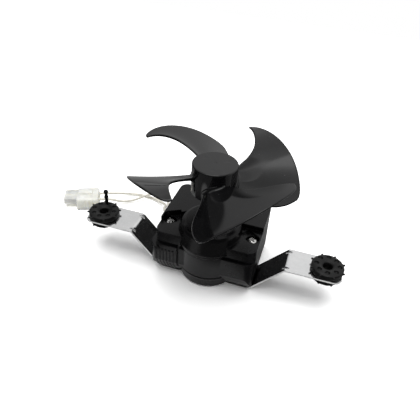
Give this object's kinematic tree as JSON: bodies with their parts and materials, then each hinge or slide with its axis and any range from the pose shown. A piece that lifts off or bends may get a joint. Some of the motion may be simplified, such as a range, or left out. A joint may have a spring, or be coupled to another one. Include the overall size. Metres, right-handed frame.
{
  "type": "fan motor",
  "caption": "Encapsulated shaded-pole fan motor with a bladed wheel on its upright shaft, clamped to a bent steel strap with rubber grommets, and two leads to a plug.",
  "frame": {"origin": "on the underside of the strap's flat middle, below the fan axis, with the plug and leads left out", "axes": "+Z along the fan axis towards the fan, X along the mounting strap with the grommet without a tail at +X, -Y the pictured front"},
  "size_m": [0.1989, 0.1015, 0.0799],
  "materials": {
    "galvanised_steel": "bright zinc on rolled steel strip",
    "zinc_steel": "zinc plated",
    "ground_steel": "ground and polished",
    "lamination_steel": "stacked electrical steel, unpainted",
    "cast_aluminium": "die cast",
    "sintered_bronze": "sintered, oiled",
    "copper": "enamelled or bare copper",
    "tinned_brass": "tin plated",
    "housing_plastic": "black moulding with a soft sheen",
    "fan_plastic": "black glossy moulding",
    "black_rubber": "matte black rubber",
    "natural_nylon": "undyed nylon, slightly translucent",
    "insulating_tape": "polyester tape",
    "oil_felt": "oil-soaked felt",
    "lead_insulation": "off-white insulation"
  },
  "bodies": {
    "motor": {"mounting_strap": "galvanised_steel", "left_grommet": "black_rubber", "right_grommet": "black_rubber", "lower_housing": "housing_plastic", "upper_housing": "housing_plastic", "bearing_cap": "housing_plastic", "clamp_screws": "zinc_steel", "lower_bearing": "sintered_bronze", "upper_bearing": "sintered_bronze", "lower_felt": "oil_felt", "upper_felt": "oil_felt", "lower_clip": "zinc_steel", "upper_clip": "zinc_steel", "thrust_pad": "natural_nylon", "stator_stack": "lamination_steel", "coil_bar": "lamination_steel", "coil_bobbin": "natural_nylon", "coil_winding": "copper", "coil_wrap": "insulating_tape", "shading_ring_left": "copper", "shading_ring_right": "copper", "lead_gland": "black_rubber", "lead_near": "lead_insulation", "lead_far": "lead_insulation", "connector_housing": "natural_nylon", "connector_contacts": "tinned_brass"},
    "rotor": {"fan_wheel": "fan_plastic", "shaft": "ground_steel", "rotor_core": "lamination_steel", "rotor_cage": "cast_aluminium", "lower_spacer": "natural_nylon", "upper_spacer": "natural_nylon"}
  },
  "joints": [
    {"name": "fan_spin", "type": "hinge", "parent": "motor", "child": "rotor", "pos_m": [0, 0, 0.04], "axis": [0, 0, 1], "continuous": true}
  ]
}
